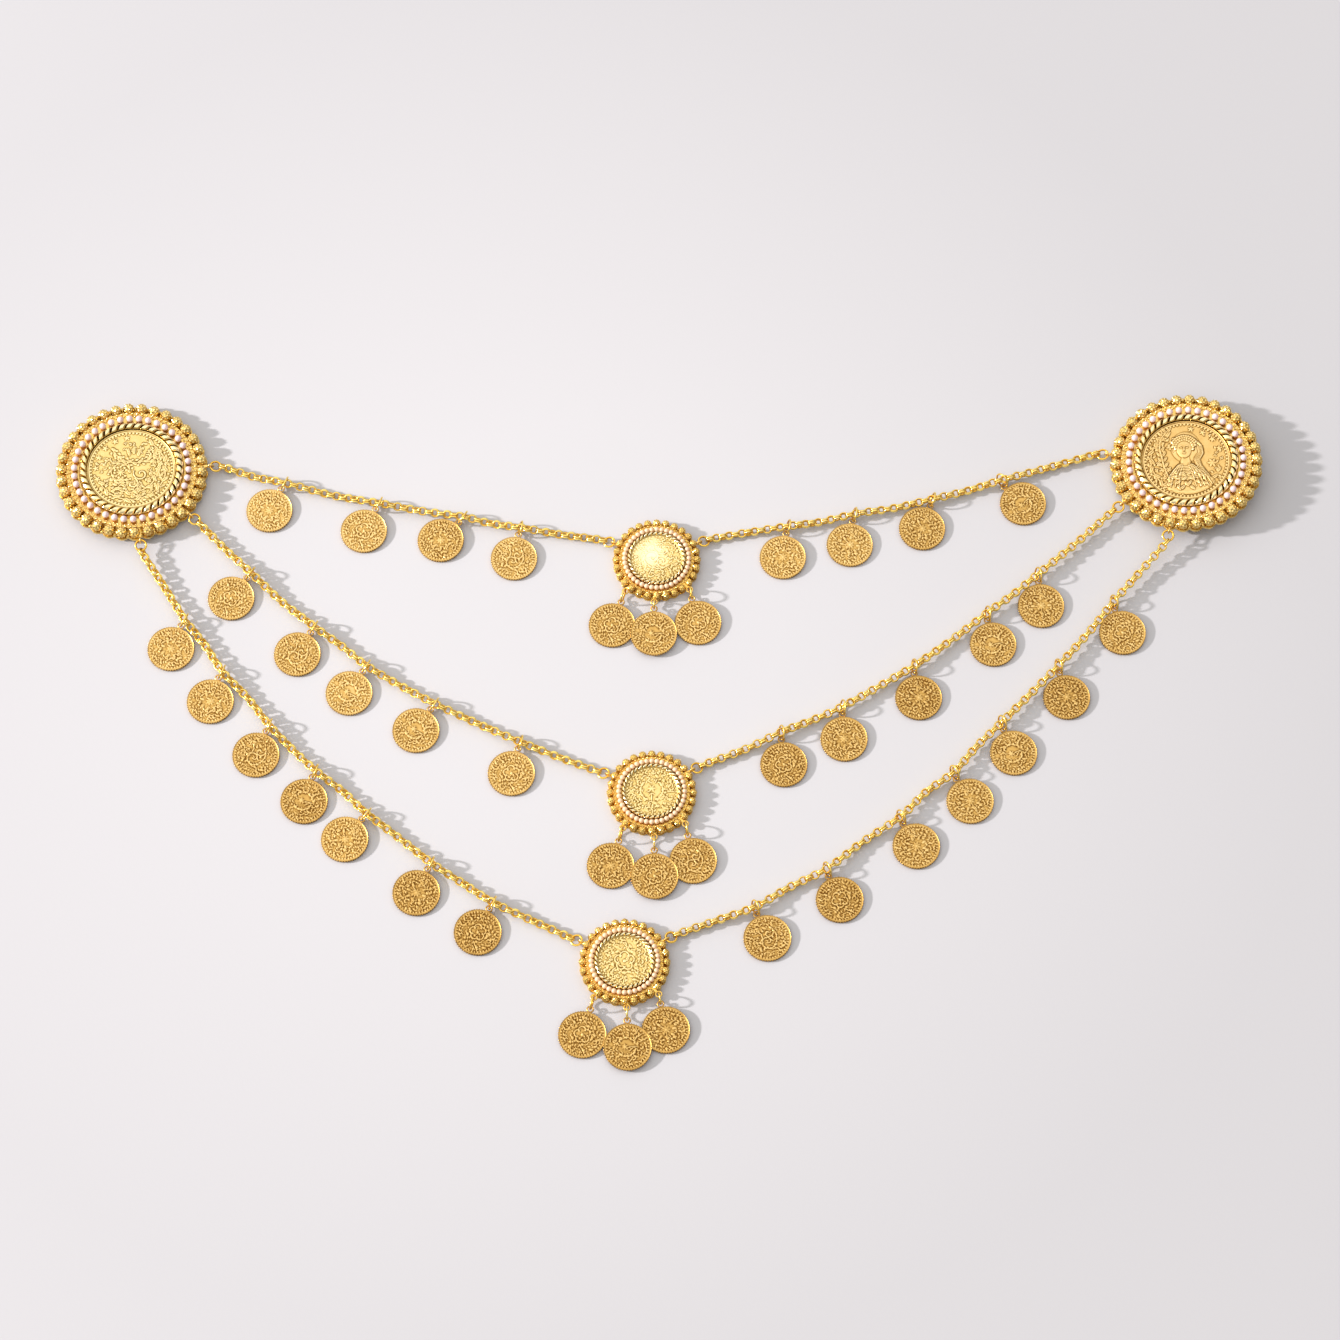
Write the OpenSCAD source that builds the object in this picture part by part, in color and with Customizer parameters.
// Coin shoulder chain lying flat: two brooches, three medallions, six chains and forty-one small coins.
// Millimetres. X runs left to right, Y away from the viewer, Z up, and the floor is Z = 0.

/* [Brooches] */
// Pitch radius of the ring of balls
brooch_ball_ring = 23.2; // [22:0.05:25]
// Ball diameter
brooch_ball_d = 4.0; // [3.6:0.1:4.2]
// Number of balls
brooch_balls = 34; // [28:1:34]
// Pitch radius of the ring of pearls
brooch_pearl_ring = 18.9; // [18.7:0.1:19.1]
// Pearl diameter
pearl_d = 2.5; // [2.2:0.1:2.6]
// Number of pearls
brooch_pearls = 38; // [30:1:38]
// Radius of the large coin
brooch_coin_r = 14.7; // [13.8:0.1:14.8]

/* [Medallions] */
// Pitch radius of the ring of balls
medallion_ball_ring = 13.3; // [13:0.05:13.6]
// Ball diameter
medallion_ball_d = 2.7; // [2.4:0.1:2.8]
// Number of balls
medallion_balls = 28; // [22:1:28]
// Pitch radius of the seed pearls
seed_ring = 10.6; // [10.55:0.05:10.75]
// Thickness of the ring of seed pearls
seed_d = 1.7; // [1.4:0.1:1.8]
// Radius of the medallion coin
medallion_coin_r = 8.6; // [8.1:0.1:8.6]

/* [Small coins] */
// Radius of a small coin
coin_r = 7.7; // [7:0.1:7.8]
// Thickness of a small coin at its rim
coin_t = 0.9; // [0.7:0.05:1.1]
// How far the field lies below the rim
coin_dish = 0.16; // [0.1:0.02:0.25]
// Distance from the coin centre to the eyelet centre
eyelet_reach = 8.6; // [8.5:0.05:8.8]
// Lift of the chain side of each coin, in degrees
coin_pitch = 4; // [2:0.5:6]

/* [Rings and chains] */
// Wire of the jump rings
ring_wire = 0.55; // [0.5:0.05:0.6]
// Middle radius of a jump ring on a chain
ring_r = 2.35; // [2.3:0.05:2.45]
// Outer width of a chain
chain_d = 2.2; // [2.0:0.1:2.2]
// Sides of a chain's solid
chain_sides = 8; // [8:1:8]

/* [Hidden] */
$fn = 48;
gold = [0.86, 0.68, 0.32];
gold_dark = [0.72, 0.53, 0.22];
pearl_white = [0.96, 0.91, 0.90];

// Brooches: place, tilt about X and Y, and the angles of the three loops
left_place = [-175, 90.9, 1.7];
left_tilt = [-1.5, 1.9, 0];
left_loops = [5, -39, -81];
right_place = [175.5, 93.3, 3.45];
right_tilt = [-1.5, -5, 0];
right_loops = [171, -146, -105];
brooch_coin_z = 2.9;
brooch_coin_t = 1.6;
brooch_coin_dish = 0.3;

// Medallions: place, angles of the two chain loops, angles of the three pendant loops
top_place = [-0.5, 59, 0];
middle_place = [-2, -24, 0];
lower_place = [-10.5, -82, 0];
top_loops = [157, 24];
middle_loops = [156, 31];
lower_loops = [154, 30];
top_pendants = [-132, -93, -45];
middle_pendants = [-127, -87, -45];
lower_pendants = [-129, -87, -45];
medallion_coin_z = 2.75;
medallion_coin_t = 1.3;
medallion_coin_dish = 0.2;
seed_z = 3.3;

// Settings: scalloped plate, balls, and soldered loops with their distance and height
plate_t = 0.9;
ball_z = 2.4;
pearl_z = 3.6;
loop_r = 0.95;
loop_wire = 0.56;
brooch_loop_seat = 26.1;
brooch_loop_z = 1.9;
medallion_loop_seat = 15.3;
medallion_loop_z = 2.2;

// Relief of the coins: its height over the field, and how deep its foot is sunk
relief_h = 0.12;
relief_foot = 0.1;

// Chain coins: ring centre X and Y, turn of the ring, turn of the coin, roll about Y
top_left_coins = [
  [-124, 87, -115, -115, 0.8],
  [-92.5, 79.5, -115, -115, 0.5],
  [-64.5, 74.5, -124, -133, -1.5],
  [-45.5, 70.5, -99, -99, 0.8]
];
top_right_coins = [
  [43, 71, -98, -98, -1.5],
  [65, 75.5, -97, -97, 1.2],
  [91, 81, -103, -109, 1.2],
  [114, 88, -49, -45, 0]
];
middle_left_coins = [
  [-134, 54, -124, -124, 0.8],
  [-112.5, 34.5, -118, -118, 1],
  [-95, 20.5, -120, -119, 0.8],
  [-72.5, 7, -122, -122, 0.8],
  [-44.5, -6.5, -103, -103, 0.5]
];
middle_right_coins = [
  [40, -3, -81, -85, 0.5],
  [60, 6, -84, -87, 1],
  [83.5, 20.5, -81, -81, 1],
  [108, 39.5, -81, -79, 1.2],
  [125, 53.5, -76, -86, 1.2]
];
lower_left_coins = [
  [-155, 37, -117, -110, 0.8],
  [-142, 18.5, -114, -106, 0.8],
  [-126, -0.5, -110, -110, 0.8],
  [-110.5, -16.5, -109, -106, 0.8],
  [-93.5, -31.5, -128, -128, -1.5],
  [-72.5, -48.5, -113, -113, 0.8],
  [-52.5, -62, -114, -114, 0.8]
];
lower_right_coins = [
  [31, -63.5, -67, -67, 1.2],
  [54, -50.5, -66, -66, 1.2],
  [78, -32.5, -61, -61, 1.2],
  [95.5, -17, -60, -60, 1.2],
  [111.5, 0.5, -66, -69, 1.2],
  [130.5, 20.5, -70, -76, 1.2],
  [149.5, 43.5, -70, -75, 0]
];

// Chain routes, from the brooch or medallion end through the ring of each coin
top_left_route = [
  [-144, 93.4, 2.8], [-134, 89.5, 1.9], [-124, 87, 2.8], [-108, 83, 1.5],
  [-92.5, 79.5, 2.8], [-79, 77, 2.2], [-64.5, 74.5, 2.8], [-55.5, 72.5, 1.8],
  [-45.5, 70.5, 2.8], [-32, 68.5, 1.5], [-18.8, 66.7, 1.7]
];
top_right_route = [
  [17.7, 67.1, 1.7], [31, 69.5, 1.5], [43, 71, 2.8], [54, 73, 2.0],
  [65, 75.5, 2.8], [78, 78, 2.0], [91, 81, 2.8], [102.5, 84.5, 1.8],
  [114, 88, 2.8], [129.5, 93, 1.8], [145, 97.8, 2.9]
];
middle_left_route = [
  [-151, 71.4, 3.2], [-143, 63, 2.1], [-134, 54, 2.8], [-123.5, 44, 1.6],
  [-112.5, 34.5, 2.8], [-103.5, 28, 1.8], [-95, 20.5, 2.8], [-84, 14, 1.6],
  [-72.5, 7, 2.8], [-58.5, 0.5, 1.5], [-44.5, -6.5, 2.8], [-33, -11, 1.7],
  [-20.2, -15.9, 1.7]
];
middle_right_route = [
  [15.1, -13.7, 1.7], [28.5, -8.5, 1.7], [40, -3, 2.8], [50, 1.5, 1.8],
  [60, 6, 2.8], [72, 13.5, 2.0], [83.5, 20.5, 2.8], [96, 30, 2.1],
  [108, 39.5, 2.9], [117, 46.5, 2.8], [125, 53.5, 2.8], [138, 65, 2.4],
  [150, 75.8, 3.7]
];
lower_left_route = [
  [-169.5, 60.4, 3.9], [-162, 48.5, 2.2], [-155, 37, 2.8], [-148, 28, 2.0],
  [-142, 18.5, 2.8], [-133.5, 9.5, 1.8], [-126, -0.5, 2.8], [-118.5, -8.5, 1.8],
  [-110.5, -16.5, 2.8], [-101.5, -23.5, 1.8], [-93.5, -31.5, 2.8], [-83, -39.5, 1.6],
  [-72.5, -48.5, 2.8], [-62.5, -55, 1.8], [-52.5, -62, 2.8], [-40.5, -67.5, 1.6],
  [-28.4, -73.3, 1.7]
];
lower_right_route = [
  [6.8, -72, 1.7], [19.5, -67.5, 1.7], [31, -63.5, 2.8], [42, -56.5, 1.7],
  [54, -50.5, 2.8], [65.5, -41, 1.6], [78, -32.5, 2.8], [86, -24, 1.8],
  [95.5, -17, 2.8], [103, -8, 2.2], [111.5, 0.5, 2.8], [121, 10.5, 2.3],
  [130.5, 20.5, 2.8], [140.5, 32, 2.6], [149.5, 43.5, 2.9], [158.5, 54, 3.2],
  [167, 63.8, 5.1]
];

// A ring on a chain: distance off the chain's middle, height, and lean from the floor in degrees
ring_off = 0.3;
ring_z = 3.0;
ring_lean = 74;
eyelet_r = 0.97;
eyelet_wire = 0.52;
// A ring at the end of a chain: middle radius, distance past the loop, drop below it, and tilt
end_ring_r = 2.0;
end_ring_out = 1.95;
end_ring_drop = 0.42;
end_ring_tilt = 12;

// Pendant coins: centre from the medallion's centre, height, and the ring's middle radius
top_trio = [[-14.6, -23.3, 1.13, 2.4], [-0.9, -26.6, 1.9, 1.5], [13.6, -22.4, 1.13, 2.05]];
middle_trio = [[-13.1, -24.9, 1.13, 2.5], [1.0, -28.7, 1.75, 2.5], [13.3, -23.2, 1.13, 2.2]];
lower_trio = [[-13.2, -24.0, 1.13, 2.2], [1.1, -28.3, 1.75, 2.4], [13.1, -22.4, 1.13, 1.8]];
pendant_pitch = 5;

// Each chain: name, coins, route
chains = [
  ["top_left", top_left_coins, top_left_route],
  ["top_right", top_right_coins, top_right_route],
  ["middle_left", middle_left_coins, middle_left_route],
  ["middle_right", middle_right_coins, middle_right_route],
  ["lower_left", lower_left_coins, lower_left_route],
  ["lower_right", lower_right_coins, lower_right_route]
];
// Each medallion: name, place, chain loops, pendant loops, pendant coins
medallions = [
  ["top", top_place, top_loops, top_pendants, top_trio],
  ["middle", middle_place, middle_loops, middle_pendants, middle_trio],
  ["lower", lower_place, lower_loops, lower_pendants, lower_trio]
];

function ray(r, a) = [r * cos(a), r * sin(a)];
function ray3(r, a, z) = [r * cos(a), r * sin(a), z];
function unit(v) = v / norm(v);

// A point of a tilted brooch, turned about X and then Y
function tip(p, t) = let (
    y = p[1] * cos(t[0]) - p[2] * sin(t[0]),
    z = p[1] * sin(t[0]) + p[2] * cos(t[0]))
  [p[0] * cos(t[1]) + z * sin(t[1]), y, z * cos(t[1]) - p[0] * sin(t[1])];

// A chain as a tube swept along its route
function heading(route, i) = unit(route[min(i + 1, len(route) - 1)] - route[max(i - 1, 0)]);
function ring_of(route, i, r, n) = let (
    h = heading(route, i),
    side = unit(cross([0, 0, 1], h)),
    up = cross(h, side))
  [for (k = [0 : n - 1])
    route[i] + r * cos(360 * (k + 0.5) / n) * side + r * sin(360 * (k + 0.5) / n) * up];
function tube_points(route, r, n) = [for (i = [0 : len(route) - 1]) each ring_of(route, i, r, n)];
function tube_faces(m, n) = concat(
  [[for (k = [0 : n - 1]) k]],
  [for (i = [0 : m - 2]) for (k = [0 : n - 1])
    [i * n + k, (i + 1) * n + k, (i + 1) * n + (k + 1) % n, i * n + (k + 1) % n]],
  [[for (k = [n - 1 : -1 : 0]) (m - 1) * n + k]]
);

// Flat shapes of the coin reliefs
function oval(rx, ry) = [for (a = [0 : 15 : 345]) [rx * cos(a), ry * sin(a)]];
function leaf(len, wide) = [
  for (a = [0 : 60 : 300]) [len / 2 * cos(a), wide / 2 * sin(a) * (1 - 0.35 * cos(a))]
];
function petals(n, r0, r1) = [for (i = [0 : 2 * n - 1]) ray(i % 2 == 0 ? r1 : r0, 180 * i / n)];
function spiral(r0, grow, a0, turn, n) = [for (i = [0 : n]) ray(r0 + grow * i, a0 + turn * i)];
function side_of(p, i) = let (d = unit(p[min(i + 1, len(p) - 1)] - p[max(i - 1, 0)])) [-d[1], d[0]];
function stroke(p, w) = let (m = len(p) - 1) concat(
  [for (i = [0 : m]) p[i] + side_of(p, i) * w * (0.25 + sin(180 * i / m)) / 2],
  [for (i = [m : -1 : 0]) p[i] - side_of(p, i) * w * (0.25 + sin(180 * i / m)) / 2]
);

// Height of a tilted coin's centre that leaves its lowest edge on the floor
function coin_lift(pitch, roll) = let (s = sqrt(pow(sin(pitch), 2) + pow(sin(roll), 2)))
  coin_t / 2 * sqrt(1 - s * s) + coin_r * s;
// A ring on a chain leans, so where a coin's eyelet sits on it follows from the eyelet's height
function eyelet_height(c) = coin_lift(coin_pitch, c[4])
  + eyelet_reach * (cos(c[3]) * sin(c[4]) - sin(c[3]) * sin(coin_pitch) * cos(c[4]));
function coin_centre(c) = let (
    s = (eyelet_height(c) - ring_z) / sin(ring_lean),
    out = ring_off + sqrt(ring_r * ring_r - s * s))
  [c[0], c[1]] + ray(out, c[2]) + ray(s * cos(ring_lean), c[2] + 90) + ray(eyelet_reach, c[3]);

function pendant_loop(m, i) = m[1] + ray3(medallion_loop_seat, m[3][i], medallion_loop_z);
function pendant_at(m, i) = [m[1][0] + m[4][i][0], m[1][1] + m[4][i][1], m[4][i][2]];
function pendant_turn(m, i) = let (d = pendant_loop(m, i) - pendant_at(m, i)) atan2(d[1], d[0]);
function pendant_eyelet(m, i) = let (e = ray(eyelet_reach, pendant_turn(m, i)))
  pendant_at(m, i) + [e[0], e[1] * cos(pendant_pitch), e[1] * sin(pendant_pitch)];

module torus(r, wire) {
  rotate_extrude($fn = 32) translate([r, 0]) circle(wire / 2, $fn = 16);
}

module loop_flat(seat, z) {
  translate([seat, 0, z]) torus(loop_r, loop_wire);
}

module loop_upright(seat, z) {
  translate([seat, 0, z]) rotate([90, 0, 0]) torus(loop_r, loop_wire);
}

// The bar that joins a loop to its setting
module shank(from, seat, z) {
  translate([from, -0.45, z - 0.4]) cube([seat - loop_r - from, 0.9, 0.8]);
}

module scalloped_plate(r, wave, n, hole) {
  difference() {
    linear_extrude(plate_t)
      polygon([for (i = [0 : n * 6 - 1]) ray(r + wave * abs(cos(180 * i / 6)), 360 * i / (n * 6))]);
    translate([0, 0, -1]) cylinder(r = hole, h = plate_t + 2);
  }
}

// Equal balls on a circle
module ball_ring(r, z, d, n) {
  for (i = [0 : n - 1]) translate(ray3(r, 360 * i / n, z)) sphere(d = d, $fn = 24);
}

module brooch_setting(loops) {
  color(gold) union() {
    scalloped_plate(24.3, 0.95, brooch_balls, 12.8);
    rotate_extrude($fn = 96) polygon([
      [12.8, 0.4], [22.2, 0.4], [22.2, 1.6], [21.6, 3.0], [20.6, 3.0], [20.6, 2.25], [17.4, 2.25],
      [17.4, 3.6], [16.9, 4.3], [16.2, 4.9], [14.95, 4.3], [14.95, 2.0], [12.8, 2.0]
    ]);
    ball_ring(brooch_ball_ring, ball_z, brooch_ball_d, brooch_balls);
    for (a = loops) rotate([0, 0, a]) {
      loop_upright(brooch_loop_seat, brooch_loop_z);
      shank(21.9, brooch_loop_seat, brooch_loop_z);
    }
  }
}

module brooch_pearls() {
  color(pearl_white) ball_ring(brooch_pearl_ring, pearl_z, pearl_d, brooch_pearls);
}

// The bar, its two posts and the needle behind a brooch
module brooch_pin(x, depth) {
  color(gold_dark) union() {
    translate([x - 1.3, -18, -0.65]) cube([2.6, 36, 0.55]);
    for (y = [-15.4, 13]) translate([x - 0.9, y, -depth]) cube([1.8, 2.4, depth - 0.3]);
    translate([x, -14, 0.4 - depth]) rotate([-90, 0, 0]) cylinder(d = 0.7, h = 28, $fn = 16);
  }
}

module coin_blank(r, t, rim, dish) {
  step = r - rim;
  rotate_extrude($fn = 72) polygon([
    [0, dish - t / 2], [step - 0.12, dish - t / 2], [step, -t / 2], [r, -t / 2],
    [r, t / 2], [step, t / 2], [step - 0.12, t / 2 - dish], [0, t / 2 - dish]
  ]);
}

// Raises flat ornament from the field of a coin
module relief(t, dish, h) {
  translate([0, 0, t / 2 - dish - relief_foot]) linear_extrude(relief_foot + h) children();
}

module ring_line(r, w) {
  difference() {
    circle(r + w / 2);
    circle(r - w / 2);
  }
}

// Ornament of the small coins: two ring lines, a ring of leaves and a rosette
module coin_ornament() {
  ring_line(6.23, 0.23);
  ring_line(4.21, 0.18);
  for (i = [0 : 15]) rotate(22.5 * i) translate([5.2, 0]) rotate(58) polygon(leaf(1.7, 0.62));
  for (i = [0 : 7]) rotate(45 * i) translate([2.75, 0]) polygon(leaf(1.5, 0.75));
  polygon(petals(8, 0.8, 1.55));
}

module small_coin() {
  union() {
    coin_blank(coin_r, coin_t, 0.75, coin_dish);
    relief(coin_t, coin_dish, relief_h) coin_ornament();
    translate([eyelet_reach, 0, 0]) torus(eyelet_r, eyelet_wire);
  }
}

module chain_coin(c) {
  color(gold) translate(concat(coin_centre(c), [coin_lift(coin_pitch, c[4])]))
    rotate([coin_pitch, c[4], 0]) rotate([0, 0, c[3] + 180]) small_coin();
}

module pendant_coins(m) {
  color(gold) for (i = [0 : 2])
    translate(pendant_at(m, i)) rotate([pendant_pitch, 0, 0]) rotate([0, 0, pendant_turn(m, i)])
      small_coin();
}

module medallion_setting(m) {
  color(gold) translate(m[1]) union() {
    scalloped_plate(13.75, 0.65, medallion_balls, 7.4);
    rotate_extrude($fn = 96) polygon([
      [7.4, 0.4], [12.6, 0.4], [12.6, 1.6], [12.3, 2.7], [11.6, 2.7], [11.6, 2.3], [9.65, 2.3],
      [9.65, 3.5], [9.4, 4.1], [9.1, 4.3], [8.72, 3.9], [8.72, 2.0], [7.4, 2.0]
    ]);
    ball_ring(medallion_ball_ring, ball_z, medallion_ball_d, medallion_balls);
    for (a = m[2]) rotate([0, 0, a]) loop_upright(medallion_loop_seat, medallion_loop_z);
    for (a = m[3]) rotate([0, 0, a]) loop_flat(medallion_loop_seat, medallion_loop_z);
    for (a = concat(m[2], m[3])) rotate([0, 0, a]) shank(12.1, medallion_loop_seat, medallion_loop_z);
  }
}

module medallion_coin(m) {
  color(gold) translate(m[1] + [0, 0, medallion_coin_z]) union() {
    coin_blank(medallion_coin_r, medallion_coin_t, 0.8, medallion_coin_dish);
    relief(medallion_coin_t, medallion_coin_dish, relief_h) scale(1.1) coin_ornament();
  }
}

module seed_pearls(m) {
  color(pearl_white) translate(m[1] + [0, 0, seed_z])
    rotate_extrude($fn = 72) translate([seed_ring, 0]) circle(d = seed_d, $fn = 24);
}

// Bead border of the large coins
module bead_border() {
  ring_line(12.78, 0.25);
  for (i = [0 : 59]) rotate(6 * i) translate([12.25, 0]) circle(0.3, $fn = 16);
}

// A branch of leaves that leans to both sides in turn
module leaf_branch(first, step, n) {
  for (i = [0 : n - 1]) rotate(first + step * i) translate([10.4, 0])
    rotate(i % 2 == 0 ? 124 : 56) polygon(leaf(2.9, 1.2));
}

module star_row(first, last) {
  for (a = [first : 20 : last]) rotate(a) translate([10.7, 0]) polygon(petals(5, 0.4, 1.0));
}

// Scrolls, three flames and a long curve inside a border of stars and leaves
module scroll_ornament() {
  bead_border();
  star_row(100, 200);
  leaf_branch(-150, 23, 11);
  translate([-1.6, 0.4]) polygon(stroke(spiral(1.2, 0.32, 150, 21, 16), 0.9));
  translate([2.6, -2.8]) polygon(stroke(spiral(0.9, 0.3, -40, 24, 12), 0.8));
  for (i = [-1 : 1]) translate([1.6 * i + 0.5, 6.6 - abs(i) * 0.7]) rotate(90 - 12 * i)
    polygon(leaf(3.0, 0.9));
  polygon(stroke([for (i = [0 : 10]) [7.6 - 1.1 * i, 4.2 - 0.5 * i + 0.06 * i * i]], 0.8));
}

// Border of stars, leaves and one flower around the bust
module bust_border() {
  bead_border();
  leaf_branch(110, 19, 9);
  star_row(20, 80);
  translate([7.9, -1.2]) polygon(petals(6, 0.7, 1.5));
}

// A head in a veil over draped shoulders, in rising steps
module bust() {
  linear_extrude(0.55) polygon([
    [-6.2, -9.4], [-5.6, -6.2], [-3.6, -4.0], [-1.9, -3.0], [-1.9, -0.4], [1.7, -0.4], [1.9, -3.0],
    [4.4, -4.4], [6.6, -6.6], [7.6, -8.6], [4.2, -10.4], [0, -11.2], [-3.6, -10.7]
  ]);
  linear_extrude(0.75) translate([-0.3, 3.0]) polygon(oval(4.0, 5.1));
  linear_extrude(1.05) translate([0.1, 2.6]) polygon(oval(2.8, 3.9));
  linear_extrude(1.25) translate([0.1, 2.4]) polygon(oval(2.1, 3.1));
  linear_extrude(1.4) translate([-0.1, 4.6]) polygon(stroke(spiral(3.0, 0, 20, 14, 10), 1.0));
}

module left_brooch_coin() {
  color(gold) translate([0, 0, brooch_coin_z]) union() {
    coin_blank(brooch_coin_r, brooch_coin_t, 1.0, brooch_coin_dish);
    relief(brooch_coin_t, brooch_coin_dish, relief_h + 0.1) scroll_ornament();
  }
}

module right_brooch_coin() {
  color(gold) translate([0, 0, brooch_coin_z]) union() {
    coin_blank(brooch_coin_r, brooch_coin_t, 1.0, brooch_coin_dish);
    relief(brooch_coin_t, brooch_coin_dish, relief_h + 0.1) bust_border();
    translate([-0.4, 1.0, 0.35]) bust();
  }
}

module chain(c) {
  color(gold)
    polyhedron(tube_points(c[2], chain_d / 2, chain_sides), tube_faces(len(c[2]), chain_sides));
}

module pendant_ring(m, i) {
  p = pendant_loop(m, i);
  q = pendant_eyelet(m, i);
  r = m[4][i][3];
  h = sqrt(max(0, r * r - pow(norm(p - q) / 2, 2)));
  d = unit(p - q);
  translate((p + q) / 2 + h * unit([0, 0, 1] - d[2] * d))
    rotate([0, 0, pendant_turn(m, i)]) rotate([90, 0, 0]) torus(r, ring_wire);
}

module coin_ring(c) {
  translate(concat([c[0], c[1]] + ray(ring_off, c[2]), [ring_z]))
    rotate([0, 0, c[2]]) rotate([ring_lean, 0, 0]) torus(ring_r, ring_wire);
}

module end_ring(p, a) {
  translate(p) rotate([0, 0, a]) rotate([0, end_ring_tilt, 0]) torus(end_ring_r, ring_wire);
}

module medallion_end_ring(m, a) {
  end_ring(m[1] + ray3(medallion_loop_seat + end_ring_out, a, medallion_loop_z - end_ring_drop), a);
}

module brooch_end_ring(place, tilt, a) {
  p = ray3(brooch_loop_seat + end_ring_out, a, brooch_loop_z - end_ring_drop);
  end_ring(place + tip(p, tilt), a);
}

module jump_rings() {
  color(gold) {
    for (c = chains) for (k = c[1]) coin_ring(k);
    for (m = medallions) {
      for (i = [0 : 2]) pendant_ring(m, i);
      for (a = m[2]) medallion_end_ring(m, a);
    }
    for (a = left_loops) brooch_end_ring(left_place, left_tilt, a);
    for (a = right_loops) brooch_end_ring(right_place, right_tilt, a);
  }
}

module left_brooch() {
  translate(left_place) rotate(left_tilt) children();
}

module right_brooch() {
  translate(right_place) rotate(right_tilt) children();
}

left_brooch() brooch_setting(left_loops);  // left_brooch_setting
left_brooch() left_brooch_coin();
left_brooch() brooch_pearls();  // left_brooch_pearls
left_brooch() brooch_pin(-10, 1.5);  // left_brooch_pin
right_brooch() brooch_setting(right_loops);  // right_brooch_setting
right_brooch() right_brooch_coin();
right_brooch() brooch_pearls();  // right_brooch_pearls
right_brooch() brooch_pin(12, 3.9);  // right_brooch_pin

for (m = medallions) {
  medallion_setting(m);
  medallion_coin(m);
  seed_pearls(m);
  pendant_coins(m);
}

for (c = chains) {
  chain(c);
  for (i = [0 : len(c[1]) - 1])
    chain_coin(c[1][i]);
}

jump_rings();
